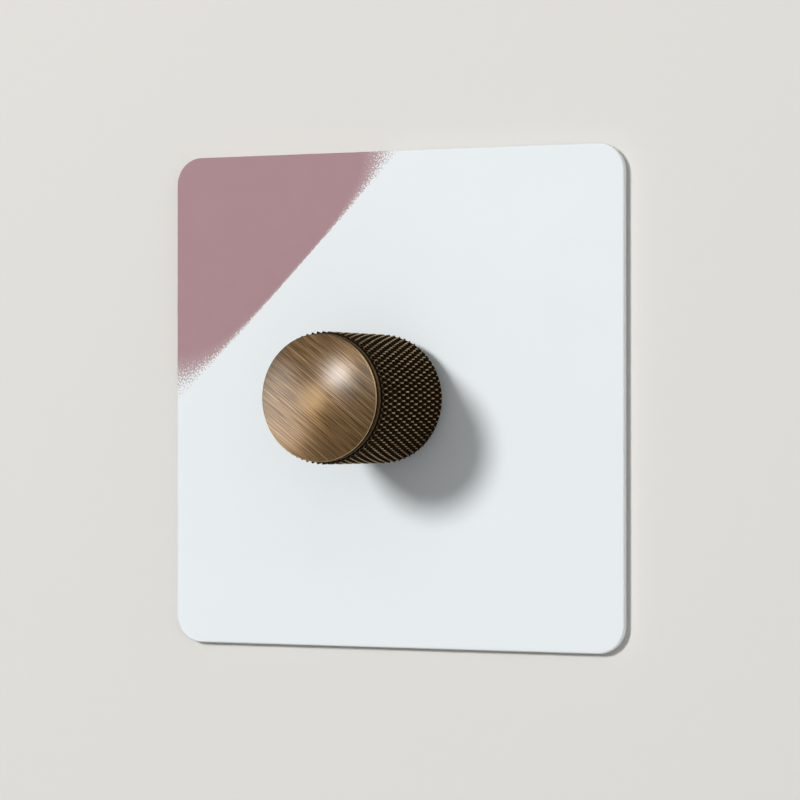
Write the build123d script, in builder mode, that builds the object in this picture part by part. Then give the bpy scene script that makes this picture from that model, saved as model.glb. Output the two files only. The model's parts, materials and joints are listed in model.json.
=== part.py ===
"""Wall dimmer switch: a thin square plate with a hidden fixing and a knurled push-and-turn knob.

Millimetres. The wall is the plane y = 0, the front faces -Y and +Z is up.
The word "out" stands for the distance out of the wall towards the room, so y = -out.
A negative "out" is inside the wall box.
"""

import os
from math import cos, pi, sin

from build123d import *

os.makedirs("parts", exist_ok=True)

# Face plate
plate_size = 90.0
plate_thickness = 1.2
plate_corner_r = 5.0
plate_edge_r = 0.35
plate_hole_gap = 1.5

# Pressed mounting yoke: a flange on the wall and a dish that goes into the wall box
sheet = 0.8
bend_r = 0.4
flange_setback = 3.0
flange_corner_r = 4.0
dish_height = 64.0
dish_corner_r = 3.0
dish_depth = 4.2
dish_margin = 0.45
fixing_centres = 60.3
fixing_slot_gap = 0.35
fixing_slot_play = 1.6

# Clip frame bonded to the plate, with barbs that snap into windows of the yoke
clip_gap = 0.3
clip_wall = 1.5
clip_height = 3.2
clip_relief_gap = 0.4
clip_relief_margin = 1.2
barb_x = 18.0
barb_width = 6.4
barb_height = 1.0
barb_reach = 1.0
barb_root = 0.5
barb_lift = 1.3
window_side_gap = 0.8
window_end_gap = 0.3

# Box screws
screw_head_r = 3.4
screw_head_height = 2.0
screw_head_round = 0.8
screw_shank_r = 1.75
screw_neck_r = 1.45
screw_neck_reach = 0.6
screw_tip_r = 0.8
screw_tip_length = 1.5
screw_length = 26.6
screw_cross_span = 4.6
screw_cross_width = 0.9
screw_cross_depth = 1.1

# Earth terminal and its clamp screw
earth_size = 6.0
earth_depth = 7.0
earth_edge_r = 0.5
earth_gap = 1.0
earth_bore_drop = 4.4
earth_head_r = 2.5
earth_head_gap = 0.4
earth_screw_reach = 2.6

# Threaded bush, its nut and washer
bush_r = 5.0
bush_flange_r = 7.0
bush_flange_height = 1.2
bush_stand = 0.4
bush_edge = 0.3
bush_hole_gap = 0.1
nut_across_flats = 14.0
nut_height = 2.2
nut_edge = 0.3
washer_height = 0.6
washer_r = 8.0
washer_gap = 0.2
washer_notches = 16
washer_notch_r = 0.6
thread_gap = 0.03

# Heat sink
sink_thickness = 2.0
sink_side = 1.5
sink_side_length = 15.0
sink_side_gap = 0.1
sink_side_inset = 3.0

# Housing
module_size = 46.0
module_corner_r = 2.5
module_edge_r = 0.8
housing_wall = 1.8
housing_inner_r = 1.0
housing_floor = 2.0
housing_depth = 22.6
rib_root = 0.5
post_r = 3.2
post_bite = 0.4
post_hole_depth = 12.0
ledge_reach = 1.8
ledge_length = 5.0
ledge_z = -12.0
groove_count = 5
groove_start = 3.0
groove_pitch = 3.2
groove_width = 1.4
groove_depth = 0.7
groove_length = 26.0

# Module screws
post_screw_r = 1.45
post_screw_gap = 0.25
post_screw_reach = 11.0
post_head_r = 2.6
post_head_height = 1.6
post_cross_span = 3.4
post_cross_width = 0.7
post_cross_depth = 0.9

# Circuit board
board_thickness = 1.6
board_gap = 0.5
board_post_gap = 0.4

# Potentiometer
pot_r = 10.0
pot_height = 6.0
pot_wall = 0.8
wafer_thickness = 0.8
wafer_gap = 0.02
rotor_gap = 1.0
rotor_thickness = 2.2
rotor_rim = 0.8
rotor_end_gap = 0.1
rotor_recess_gap = 0.6
wiper_thickness = 0.3
wiper_gap = 0.1
wiper_ring_r = 5.6
wiper_ring_width = 1.2
wiper_arm_width = 1.8
wiper_arm_setback = 0.4

# Spindle and its retaining ring
spindle_r = 3.0
spindle_gap = 0.05
spindle_flat = 2.3
spindle_edge = 0.3
spindle_way = 0.6
tip_r = 1.8
tip_reach = 0.4
ring_width = 1.4
ring_thickness = 0.6
ring_mouth = 3.2
ring_hole_gap = 0.5
ring_end_gap = 0.05
ring_groove = 0.6
ring_seat_gap = 0.02
flat_setback = 0.4
push_travel = 1.2

# Push switch
switch_size = 12.0
switch_height = 9.0
switch_wall = 1.0
switch_hole_gap = 0.4
plunger_r = 4.0
plunger_thickness = 1.6
plunger_gap = 0.05
bridge_length = 8.4
bridge_width = 2.4
bridge_thickness = 0.4
bridge_ring_width = 0.15
blade_reach = 1.8
blade_thickness = 0.4
blade_gap = 0.1
spring_r = 2.4
spring_wire_r = 0.25
spring_turns = 5

# Power transistors
device_thickness = 3.2
device_length = 9.0
device_gap = 0.7
device_z = -2.5
tab_thickness = 1.2
tab_length = 6.0
tab_hole_r = 1.7
tab_hole_set = 2.8
lead_pitch = 2.5
lead_width = 0.8
lead_thickness = 0.6
lead_reach = 3.0
lead_lift = 1.0

# Choke, capacitors and fuse on the rear of the board
choke_gap = 2.0
choke_section = 2.6
choke_height = 6.4
choke_z = 6.0
choke_wire = 0.6
choke_wire_gap = 0.06
choke_loop_r = 0.5
choke_loops = 9
film_gap = 1.5
film_thickness = 6.0
film_height = 9.6
film_z = 4.0
film_edge_r = 0.6
can_r = 3.9
can_height = 10.0
can_edge_r = 0.4
fuse_r = 2.1
fuse_cap_r = 2.4
fuse_cap_length = 1.8
fuse_clip_width = 2.0
fuse_gap = 2.5
fuse_lift = 2.6
fuse_z = -7.4

# Terminals
terminal_pitch = 11.0
cage_width = 7.0
cage_depth = 7.0
cage_reach = 8.0
cage_gap = 0.05
shelf_drop = 2.8
shelf_thickness = 1.8
barrier = 1.4
barrier_overlap = 0.6
barrier_stand = 0.4
wire_bore_r = 1.7
wire_bore_wall = 0.8
wire_bore_end = 0.4
tag_width = 3.0
tag_thickness = 0.6
tag_length = 2.8
clamp_r = 1.5
clamp_set = 3.8
clamp_stand = 1.2
clamp_tip_gap = 0.1
clamp_head_r = 2.4
clamp_head_height = 1.6
clamp_slot_width = 0.8
clamp_slot_depth = 0.8

# Knob and its core
knob_gap = 3.1
knob_foot_r = 11.3
knob_foot_height = 0.7
knob_foot_edge = 0.25
knurl_tip_r = 11.65
knurl_root_r = 11.05
knurl_starts = 68
knurl_steps = 14
knurl_step = 1.71
land_r = 11.15
land_length = 1.7
land_edge = 0.1
face_crown = 3.0
knob_recess_r = 8.0
knob_recess_depth = 8.0
core_r = 5.0
core_gap = 0.02
core_length = 15.0
core_stub = 4.0
core_cap = 1.5

# Depths that follow from the sizes above
plate_back = sheet
plate_front = plate_back + plate_thickness
floor_back = -dish_depth
floor_front = floor_back + sheet
clip_back = plate_back - clip_height
barb_out = clip_back + barb_lift
sink_back = floor_back - sink_thickness
bush_back = sink_back - bush_flange_height
washer_front = floor_front + washer_height
nut_front = washer_front + nut_height
bush_front = nut_front + bush_stand
housing_back = sink_back - housing_depth
housing_bed = housing_back + housing_floor
rib_back = housing_bed - rib_root
pot_back = bush_back - pot_height
board_back = pot_back - board_thickness
wafer_front = pot_back + wafer_thickness
rotor_back = wafer_front + wiper_gap + wiper_thickness
rotor_front = rotor_back + rotor_thickness
rim_front = bush_back - pot_wall - rotor_end_gap
switch_back = board_back - switch_height
shelf_back = board_back - shelf_drop
shelf_front = shelf_back + shelf_thickness
cage_back = shelf_back - cage_depth
bore_out = shelf_back - wire_bore_wall - wire_bore_r
knob_back = plate_front + knob_gap
knurl_back = knob_back + knob_foot_height
knurl_front = knurl_back + knurl_steps * knurl_step
face_edge = knurl_front + land_length
face_out = face_edge + face_crown
recess_end = knob_back + knob_recess_depth
core_back = recess_end - core_stub
core_front = core_back + core_length
spindle_front = core_front - core_cap
spindle_back = rotor_back - wiper_gap
tip_back = board_back - tip_reach

# Widths and places that follow from the sizes above
flange_size = plate_size - 2 * flange_setback
dish_width = fixing_centres + 2 * (screw_head_r + dish_margin)
clip_width = dish_width - 2 * clip_gap
clip_span = dish_height - 2 * clip_gap
clip_corner_r = dish_corner_r - clip_gap
half_module = module_size / 2
half_inside = half_module - housing_wall
half_board = half_inside - board_gap
half_switch = switch_size / 2
half_cavity = half_switch - switch_wall
rear_space = half_inside - half_switch
rear_mid = (half_inside + half_switch) / 2
sink_side_x = half_module + sink_side_gap
sink_side_z = half_module - sink_side_inset
post_centre = half_inside - post_r + post_bite
post_points = [(x, z) for x in (-post_centre, post_centre) for z in (-post_centre, post_centre)]
fixing_xs = (-fixing_centres / 2, fixing_centres / 2)
barb_xs = (-barb_x, barb_x)
earth_x = -(dish_width / 2 - clip_gap - clip_wall - earth_head_gap - earth_head_r)
earth_z = -(sink_side_z + earth_gap + earth_size / 2)
cage_xs = (-terminal_pitch, 0.0, terminal_pitch)
cage_top = -half_inside
cage_bottom = -half_module - cage_reach
clamp_z = cage_bottom + clamp_set
rotor_r = pot_r - pot_wall - rotor_gap
ring_r = spindle_r + ring_width
face_r = land_r - land_edge
face_arc_r = (face_r**2 + face_crown**2) / (2 * face_crown)


def at(out, x=0.0, z=0.0):
    """A sketch plane parallel to the wall, facing the room."""
    return Plane(origin=(x, -out, z), x_dir=(1, 0, 0), z_dir=(0, -1, 0))


def rod(start, end, radius, x=0.0, z=0.0, mode=Mode.ADD):
    """A round bar square to the wall, from one depth to another."""
    with BuildSketch(at(start, x, z)) as section:
        Circle(radius)
    extrude(section.sketch, amount=end - start, mode=mode)


def block(x0, x1, out0, out1, z0, z1, mode=Mode.ADD):
    """A box between two values of x, of out and of z."""
    with Locations(((x0 + x1) / 2, -(out0 + out1) / 2, (z0 + z1) / 2)):
        Box(abs(x1 - x0), abs(out1 - out0), abs(z1 - z0), mode=mode)


def slab(start, end, width, height, corner, mode=Mode.ADD):
    """A plate with round corners, centred on the knob's axis."""
    with BuildSketch(at(start)) as section:
        RectangleRounded(width, height, corner)
    extrude(section.sketch, amount=end - start, mode=mode)


def upright_bore(bottom, top, radius, x, out):
    """A round hole cut along Z."""
    with BuildSketch(Plane.XY.offset(bottom)) as section:
        with Locations((x, -out)):
            Circle(radius)
    extrude(section.sketch, amount=top - bottom, mode=Mode.SUBTRACT)


def cross_recess(top, span, width, depth, x, z):
    """The cross for a driver in the head of a screw."""
    block(x - span / 2, x + span / 2, top - depth, top, z - width / 2, z + width / 2, Mode.SUBTRACT)
    block(x - width / 2, x + width / 2, top - depth, top, z - span / 2, z + span / 2, Mode.SUBTRACT)


def slot(bottom, top, radius, x, z):
    """The driver slot across the whole head of a clamp screw."""
    half = clamp_slot_width / 2
    block(x - radius, x + radius, bottom, top, z - half, z + half, Mode.SUBTRACT)


def d_bore(start, end, gap):
    """A round hole with one flat, for an end of the spindle."""
    with BuildSketch(at(start)) as section:
        Circle(spindle_r + gap)
        with Locations((spindle_flat + gap, 0)):
            Rectangle(spindle_r, 2 * (spindle_r + gap), align=(Align.MIN, Align.CENTER), mode=Mode.SUBTRACT)
    extrude(section.sketch, amount=end - start, mode=Mode.SUBTRACT)


def knurl():
    """The knurled barrel: two sets of crossing ridges with a pit in each mesh."""
    count = 2 * knurl_starts
    rings = []
    for k in range(knurl_steps + 1):
        ring = []
        for i in range(count):
            radius = knurl_tip_r if (i + k) % 2 == 0 else knurl_root_r
            angle = pi * i / knurl_starts
            depth = -(knurl_back + k * knurl_step)
            ring.append((radius * cos(angle), depth, radius * sin(angle)))
        rings.append(ring)
    faces = [Face(Wire.make_polygon(rings[0])), Face(Wire.make_polygon(rings[-1]))]
    for k in range(knurl_steps):
        for i in range(count):
            j = (i + 1) % count
            a, b, c, d = rings[k][i], rings[k][j], rings[k + 1][j], rings[k + 1][i]
            ridge_from_a = (i + k) % 2 == 0
            halves = ((a, b, c), (a, c, d)) if ridge_from_a else ((a, b, d), (b, c, d))
            faces += [Face(Wire.make_polygon(half)) for half in halves]
    return Solid(Shell(faces))


# Face plate: thin square sheet with a small round on its front edge
with BuildPart() as face_plate:
    slab(plate_back, plate_front, plate_size, plate_size, plate_corner_r)
    fillet(face_plate.faces().sort_by(Axis.Y)[0].edges(), plate_edge_r)
    rod(plate_back, plate_front, spindle_r + plate_hole_gap, mode=Mode.SUBTRACT)
face_plate.part.label = "face_plate"
export_step(face_plate.part, "parts/face_plate.step")

# Mounting yoke: flange and dish pressed from one sheet, then slots, holes and clip windows
with BuildPart() as mounting_yoke:
    slab(0, sheet, flange_size, flange_size, flange_corner_r)
    slab(floor_back, sheet, dish_width + 2 * sheet, dish_height + 2 * sheet, dish_corner_r + sheet)
    slab(floor_front, sheet, dish_width, dish_height, dish_corner_r, mode=Mode.SUBTRACT)
    flats = mounting_yoke.faces().filter_by(Axis.Y).sort_by(Axis.Y)
    mouth, flange_rear, bed, underside = flats
    fillet(underside.edges() + mouth.inner_wires()[0].edges(), bend_r + sheet)
    flats = mounting_yoke.faces().filter_by(Axis.Y).sort_by(Axis.Y)
    mouth, flange_rear, bed, underside = flats
    fillet(bed.edges() + flange_rear.inner_wires()[0].edges(), bend_r)
    with BuildSketch(at(floor_back)):
        Circle(bush_r + bush_hole_gap)
        with Locations(*[(x, 0) for x in fixing_xs]):
            slot_width = 2 * (screw_shank_r + fixing_slot_gap)
            SlotOverall(slot_width + fixing_slot_play, slot_width)
        with Locations(*post_points):
            Circle(post_screw_r + post_screw_gap)
        with Locations((earth_x, earth_z)):
            Circle(clamp_r + post_screw_gap)
    extrude(amount=sheet, mode=Mode.SUBTRACT)
    for x in barb_xs:
        half = barb_width / 2 + window_side_gap
        low = barb_out - barb_height / 2 - window_end_gap
        high = barb_out + barb_height / 2 + window_end_gap
        for z in (-dish_height / 2, dish_height / 2):
            block(x - half, x + half, low, high, z - 2 * sheet, z + 2 * sheet, Mode.SUBTRACT)
mounting_yoke.part.label = "mounting_yoke"
export_step(mounting_yoke.part, "parts/mounting_yoke.step")

# Clip frame: a low ring inside the dish, relieved over the heads of the box screws
with BuildPart() as clip_frame:
    slab(clip_back, plate_back, clip_width, clip_span, clip_corner_r)
    inner = 2 * clip_wall
    slab(
        clip_back,
        plate_back,
        clip_width - inner,
        clip_span - inner,
        clip_corner_r - clip_wall,
        mode=Mode.SUBTRACT,
    )
    relief = floor_front + screw_head_height + clip_relief_gap
    relief_half = screw_head_r + clip_relief_margin
    for x in (-clip_width / 2, clip_width / 2):
        block(x - inner, x + inner, clip_back, relief, -relief_half, relief_half, Mode.SUBTRACT)
    for x in barb_xs:
        for side in (-1, 1):
            wall = side * clip_span / 2
            tip = wall + side * barb_reach
            root = wall - side * barb_root
            low, high = barb_out - barb_height / 2, barb_out + barb_height / 2
            with BuildSketch(Plane.YZ.offset(x - barb_width / 2)) as barb:
                Polygon((-low, root), (-high, root), (-high, tip), (-low, wall), align=None)
            extrude(barb.sketch, amount=barb_width)
clip_frame.part.label = "clip_frame"
export_step(clip_frame.part, "parts/clip_frame.step")

# Box screws: pan heads in the dish, a neck through the slot, long shanks into the wall box
with BuildPart() as fixing_screws:
    head_top = floor_front + screw_head_height
    neck_back = floor_back - screw_neck_reach
    screw_end = floor_front - screw_length
    for x in fixing_xs:
        rod(floor_front, head_top, screw_head_r, x)
        rod(neck_back, floor_front, screw_neck_r, x)
        rod(screw_end + screw_tip_length, neck_back, screw_shank_r, x)
        with BuildSketch(at(screw_end + screw_tip_length, x)) as tip_start:
            Circle(screw_shank_r)
        with BuildSketch(at(screw_end, x)) as tip_end:
            Circle(screw_tip_r)
        loft([tip_start.sketch.face(), tip_end.sketch.face()])
    head_rims = fixing_screws.edges().filter_by(GeomType.CIRCLE).group_by(Axis.Y)[0]
    fillet(head_rims, screw_head_round)
    for x in fixing_xs:
        cross_recess(head_top, screw_cross_span, screw_cross_width, screw_cross_depth, x, 0.0)
fixing_screws.part.label = "fixing_screws"
export_step(fixing_screws.part, "parts/fixing_screws.step")

# Earth terminal: a small block under the dish floor with a clamp screw from the front
earth_back = floor_back - earth_depth
earth_bore_out = floor_back - earth_bore_drop
with BuildPart() as earth_terminal:
    half = earth_size / 2
    block(earth_x - half, earth_x + half, earth_back, floor_back, earth_z - half, earth_z + half)
    fillet(earth_terminal.edges().filter_by(Axis.Y), earth_edge_r)
    rod(earth_bore_out, floor_back, clamp_r + thread_gap, earth_x, earth_z, Mode.SUBTRACT)
    upright_bore(earth_z - half, earth_z + half, wire_bore_r, earth_x, earth_bore_out)
earth_terminal.part.label = "earth_terminal"
export_step(earth_terminal.part, "parts/earth_terminal.step")

with BuildPart() as earth_screw:
    head_top = floor_front + clamp_head_height
    rod(floor_back - earth_screw_reach, floor_front, clamp_r, earth_x, earth_z)
    rod(floor_front, head_top, earth_head_r, earth_x, earth_z)
    slot(head_top - clamp_slot_depth, head_top, earth_head_r, earth_x, earth_z)
earth_screw.part.label = "earth_screw"
export_step(earth_screw.part, "parts/earth_screw.step")

# Bush with its rear flange, the notched washer and the nut that hold the module to the yoke
with BuildPart() as bush:
    rod(sink_back, bush_front, bush_r)
    rod(bush_back, sink_back, bush_flange_r)
    chamfer(bush.faces().sort_by(Axis.Y)[0].edges(), bush_edge)
    rod(bush_back, bush_front, spindle_r + spindle_gap, mode=Mode.SUBTRACT)
bush.part.label = "bush"
export_step(bush.part, "parts/bush.step")

with BuildPart() as lock_washer:
    rod(floor_front, washer_front, washer_r)
    rod(floor_front, washer_front, bush_r + washer_gap, mode=Mode.SUBTRACT)
    for i in range(washer_notches):
        angle = 2 * pi * i / washer_notches
        x, z = washer_r * cos(angle), washer_r * sin(angle)
        rod(floor_front, washer_front, washer_notch_r, x, z, Mode.SUBTRACT)
lock_washer.part.label = "lock_washer"
export_step(lock_washer.part, "parts/lock_washer.step")

with BuildPart() as bush_nut:
    with BuildSketch(at(washer_front)):
        RegularPolygon(nut_across_flats / 2, 6, major_radius=False)
        Circle(bush_r + thread_gap, mode=Mode.SUBTRACT)
    extrude(amount=nut_height)
    chamfer(bush_nut.faces().sort_by(Axis.Y)[0].outer_wire().edges(), nut_edge)
bush_nut.part.label = "bush_nut"
export_step(bush_nut.part, "parts/bush_nut.step")

# Heat sink: aluminium plate with two sides folded back along the housing
with BuildPart() as heat_sink:
    side_end = floor_back - sink_side_length
    outer_x = sink_side_x + sink_side
    block(-outer_x, outer_x, sink_back, floor_back, -sink_side_z, sink_side_z)
    block(-half_module, half_module, sink_back, floor_back, -half_module, half_module)
    for side in (-1, 1):
        block(side * sink_side_x, side * outer_x, side_end, floor_back, -sink_side_z, sink_side_z)
    upright = heat_sink.edges().filter_by(Axis.Z).group_by(Axis.Y)[0].sort_by(Axis.X)
    fillet([upright[0], upright[-1]], sink_side)
    rod(sink_back, floor_back, bush_r + bush_hole_gap, mode=Mode.SUBTRACT)
    for x, z in post_points:
        rod(sink_back, floor_back, post_screw_r + post_screw_gap, x, z, Mode.SUBTRACT)
heat_sink.part.label = "heat_sink"
export_step(heat_sink.part, "parts/heat_sink.step")

# Housing: moulded tub with screw posts, board ledges, a terminal shelf and barriers
with BuildPart() as housing:
    shelf_root = cage_top - rib_root
    shelf_half = 1.5 * terminal_pitch + barrier / 2
    slab(housing_back, sink_back, module_size, module_size, module_corner_r)
    fillet(housing.faces().sort_by(Axis.Y)[-1].edges(), module_edge_r)
    slab(housing_bed, sink_back, 2 * half_inside, 2 * half_inside, housing_inner_r, mode=Mode.SUBTRACT)
    for x, z in post_points:
        rod(rib_back, sink_back, post_r, x, z)
    for side in (-1, 1):
        ledge_x = side * (half_inside - ledge_reach)
        wall_x = side * (half_inside + rib_root)
        half = ledge_length / 2
        block(ledge_x, wall_x, rib_back, board_back, ledge_z - half, ledge_z + half)
    block(-half, half, rib_back, board_back, half_inside - ledge_reach, half_inside + rib_root)
    block(-shelf_half, shelf_half, shelf_back, shelf_front, cage_bottom, shelf_root)
    for i in range(len(cage_xs) + 1):
        x0 = i * terminal_pitch - shelf_half
        wall_low = cage_bottom - barrier_overlap
        block(x0, x0 + barrier, cage_back - barrier_stand, shelf_front, wall_low, shelf_root)
    for x in cage_xs:
        reach = cage_width / 2 + cage_gap
        block(x - reach, x + reach, cage_back - cage_gap, shelf_back, -half_module, cage_top, Mode.SUBTRACT)
    for x, z in post_points:
        rod(sink_back - post_hole_depth, sink_back, post_screw_r + thread_gap, x, z, Mode.SUBTRACT)
    for i in range(groove_count):
        z = groove_start + groove_pitch * i
        half = groove_length / 2
        block(-half, half, housing_back, housing_back + groove_depth, z, z + groove_width, Mode.SUBTRACT)
housing.part.label = "housing"
export_step(housing.part, "parts/housing.step")

# Module screws: from the dish through the heat sink into the posts
with BuildPart() as housing_screws:
    head_top = floor_front + post_head_height
    for x, z in post_points:
        rod(sink_back - post_screw_reach, floor_front, post_screw_r, x, z)
        rod(floor_front, head_top, post_head_r, x, z)
        cross_recess(head_top, post_cross_span, post_cross_width, post_cross_depth, x, z)
housing_screws.part.label = "housing_screws"
export_step(housing_screws.part, "parts/housing_screws.step")

# Potentiometer: can, resistive wafer, rotor and wiper
with BuildPart() as pot_case:
    rod(pot_back, bush_back, pot_r)
    rod(pot_back, bush_back - pot_wall, pot_r - pot_wall, mode=Mode.SUBTRACT)
    rod(bush_back - pot_wall, bush_back, ring_r + ring_hole_gap, mode=Mode.SUBTRACT)
pot_case.part.label = "pot_case"
export_step(pot_case.part, "parts/pot_case.step")

with BuildPart() as track_wafer:
    rod(pot_back, wafer_front, pot_r - pot_wall - wafer_gap)
    rod(pot_back, wafer_front, spindle_r + spindle_way, mode=Mode.SUBTRACT)
track_wafer.part.label = "track_wafer"
export_step(track_wafer.part, "parts/track_wafer.step")

with BuildPart() as wiper_rotor:
    rod(rotor_back, rotor_front, rotor_r)
    rod(rotor_front, rim_front, rotor_r - rotor_rim)
    rod(rotor_front, rim_front, ring_r + rotor_recess_gap, mode=Mode.SUBTRACT)
    d_bore(rotor_back, rotor_front, spindle_gap)
wiper_rotor.part.label = "wiper_rotor"
export_step(wiper_rotor.part, "parts/wiper_rotor.step")

with BuildPart() as wiper_contact:
    wiper_back = rotor_back - wiper_thickness
    arm_start = wiper_ring_r - wiper_ring_width / 2
    rod(wiper_back, rotor_back, wiper_ring_r)
    rod(wiper_back, rotor_back, wiper_ring_r - wiper_ring_width, mode=Mode.SUBTRACT)
    half = wiper_arm_width / 2
    block(-half, half, wiper_back, rotor_back, arm_start, rotor_r - wiper_arm_setback)
wiper_contact.part.label = "wiper_contact"
export_step(wiper_contact.part, "parts/wiper_contact.step")

# Circuit board with its corners cut away round the screw posts
with BuildPart() as circuit_board:
    corner = post_centre - post_r - board_post_gap
    block(-half_board, half_board, board_back, pot_back, -half_board, half_board)
    for side_x in (-1, 1):
        for side_z in (-1, 1):
            x0, x1 = side_x * corner, side_x * half_board
            z0, z1 = side_z * corner, side_z * half_board
            block(x0, x1, board_back, pot_back, z0, z1, Mode.SUBTRACT)
    rod(board_back, pot_back, spindle_r + spindle_way, mode=Mode.SUBTRACT)
circuit_board.part.label = "circuit_board"
export_step(circuit_board.part, "parts/circuit_board.step")

# Push switch behind the board: case, plunger, bridge, fixed contacts and return spring
cavity_front = board_back - switch_wall
cavity_back = switch_back + switch_wall
plunger_front = cavity_front - plunger_gap
plunger_back = plunger_front - plunger_thickness
bridge_back = plunger_back - bridge_thickness
with BuildPart() as push_switch_case:
    block(-half_switch, half_switch, switch_back, board_back, -half_switch, half_switch)
    block(
        -half_cavity,
        half_cavity,
        cavity_back,
        cavity_front,
        -half_cavity,
        half_cavity,
        Mode.SUBTRACT,
    )
    rod(cavity_front, board_back, tip_r + switch_hole_gap, mode=Mode.SUBTRACT)
push_switch_case.part.label = "push_switch_case"
export_step(push_switch_case.part, "parts/push_switch_case.step")

with BuildPart() as switch_plunger:
    rod(plunger_back, plunger_front, plunger_r)
    rod(plunger_front, tip_back - plunger_gap, tip_r)
switch_plunger.part.label = "switch_plunger"
export_step(switch_plunger.part, "parts/switch_plunger.step")

with BuildPart() as moving_contact:
    ring_inner = spring_r + spring_wire_r + plunger_gap
    half_x, half_z = bridge_length / 2, bridge_width / 2
    block(-half_x, half_x, bridge_back, plunger_back, -half_z, half_z)
    rod(bridge_back, plunger_back, ring_inner + bridge_ring_width)
    rod(bridge_back, plunger_back, ring_inner, mode=Mode.SUBTRACT)
moving_contact.part.label = "moving_contact"
export_step(moving_contact.part, "parts/moving_contact.step")

with BuildPart() as switch_contacts:
    blade_front = bridge_back - push_travel - blade_gap
    blade_back = blade_front - blade_thickness
    for side in (-1, 1):
        near, far = side * (half_cavity - blade_reach), side * half_cavity
        leg = side * (half_cavity - blade_thickness)
        block(near, far, blade_back, blade_front, -half_z, half_z)
        block(leg, far, blade_front, cavity_front, -half_z, half_z)
switch_contacts.part.label = "switch_contacts"
export_step(switch_contacts.part, "parts/switch_contacts.step")

with BuildPart() as return_spring:
    spring_back = cavity_back + spring_wire_r
    spring_length = plunger_back - spring_wire_r - spring_back
    with BuildLine() as coil:
        start = (0, -spring_back, 0)
        Helix(spring_length / spring_turns, spring_length, spring_r, center=start, direction=(0, -1, 0))
    with BuildSketch(Plane(origin=coil.line @ 0, z_dir=coil.line % 0)):
        Circle(spring_wire_r)
    sweep()
return_spring.part.label = "return_spring"
export_step(return_spring.part, "parts/return_spring.step")

# Power transistors flat on the heat sink, legs down to the board
with BuildPart() as power_transistors:
    tab_back = sink_back - tab_thickness
    device_back = tab_back - device_thickness
    lead_front = device_back + lead_lift + lead_thickness
    device_low, device_high = device_z - device_length / 2, device_z + device_length / 2
    half = (half_inside - pot_r) / 2 - device_gap
    for side in (-1, 1):
        x = side * (half_inside + pot_r) / 2
        block(x - half, x + half, device_back, tab_back, device_low, device_high)
        block(x - half, x + half, tab_back, sink_back, device_low, device_high + tab_length)
        rod(tab_back, sink_back, tab_hole_r, x, device_high + tab_length - tab_hole_set, Mode.SUBTRACT)
        for step in (-lead_pitch, 0.0, lead_pitch):
            x0, x1 = x + step - lead_width / 2, x + step + lead_width / 2
            lead_low = device_low - lead_reach
            block(x0, x1, lead_front - lead_thickness, lead_front, lead_low, device_low)
            block(x0, x1, pot_back, lead_front, lead_low, lead_low + lead_thickness)
power_transistors.part.label = "power_transistors"
export_step(power_transistors.part, "parts/power_transistors.step")

# Choke: ring core with wire loops round half of it
choke_r = rear_space / 2 - choke_gap
choke_hole_r = choke_r - choke_section
choke_front = board_back - choke_wire - choke_wire_gap
choke_back = choke_front - choke_height
with BuildPart() as choke_core:
    rod(choke_back, choke_front, choke_r, -rear_mid, choke_z)
    rod(choke_back, choke_front, choke_hole_r, -rear_mid, choke_z, Mode.SUBTRACT)
choke_core.part.label = "choke_core"
export_step(choke_core.part, "parts/choke_core.step")

with BuildPart() as choke_winding:
    open_width = choke_section + 2 * choke_wire_gap
    open_depth = choke_height + 2 * choke_wire_gap
    loop_mid = (choke_hole_r + choke_r) / 2
    core_mid = (choke_back + choke_front) / 2
    for i in range(choke_loops):
        angle = pi * i / (choke_loops - 1)
        across, along = (cos(angle), 0, sin(angle)), (-sin(angle), 0, cos(angle))
        with BuildSketch(Plane(origin=(-rear_mid, -core_mid, choke_z), x_dir=across, z_dir=along)) as loop:
            with Locations((loop_mid, 0)):
                RectangleRounded(open_width + 2 * choke_wire, open_depth + 2 * choke_wire, choke_loop_r)
                Rectangle(open_width, open_depth, mode=Mode.SUBTRACT)
        extrude(loop.sketch, amount=choke_wire / 2, both=True)
choke_winding.part.label = "choke_winding"
export_step(choke_winding.part, "parts/choke_winding.step")

# Capacitors and fuse on the rear of the board
with BuildPart() as film_capacitor:
    x0, x1 = half_switch + film_gap, half_inside - film_gap
    half = film_thickness / 2
    block(x0, x1, board_back - film_height, board_back, film_z - half, film_z + half)
    fillet(film_capacitor.edges().filter_by(Axis.Y), film_edge_r)
film_capacitor.part.label = "film_capacitor"
export_step(film_capacitor.part, "parts/film_capacitor.step")

with BuildPart() as smoothing_capacitor:
    can_z = (half_switch + half_inside - ledge_reach) / 2
    rod(board_back - can_height, board_back, can_r, 0.0, can_z)
    fillet(smoothing_capacitor.edges().filter_by(GeomType.CIRCLE), can_edge_r)
smoothing_capacitor.part.label = "smoothing_capacitor"
export_step(smoothing_capacitor.part, "parts/smoothing_capacitor.step")

with BuildPart() as fuse:
    half = rear_space / 2 - fuse_gap
    cap_mid = half - fuse_cap_length / 2
    fuse_out = board_back - fuse_lift
    with Locations(Plane(origin=(-rear_mid, -fuse_out, fuse_z), z_dir=(1, 0, 0))):
        Cylinder(fuse_r, 2 * cap_mid)
        with Locations((0, 0, cap_mid), (0, 0, -cap_mid)):
            Cylinder(fuse_cap_r, fuse_cap_length)
    for x in (-rear_mid - cap_mid, -rear_mid + cap_mid):
        x0, x1 = x - fuse_cap_length / 2, x + fuse_cap_length / 2
        block(x0, x1, fuse_out, board_back, fuse_z - fuse_clip_width / 2, fuse_z + fuse_clip_width / 2)
fuse.part.label = "fuse"
export_step(fuse.part, "parts/fuse.step")

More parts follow.
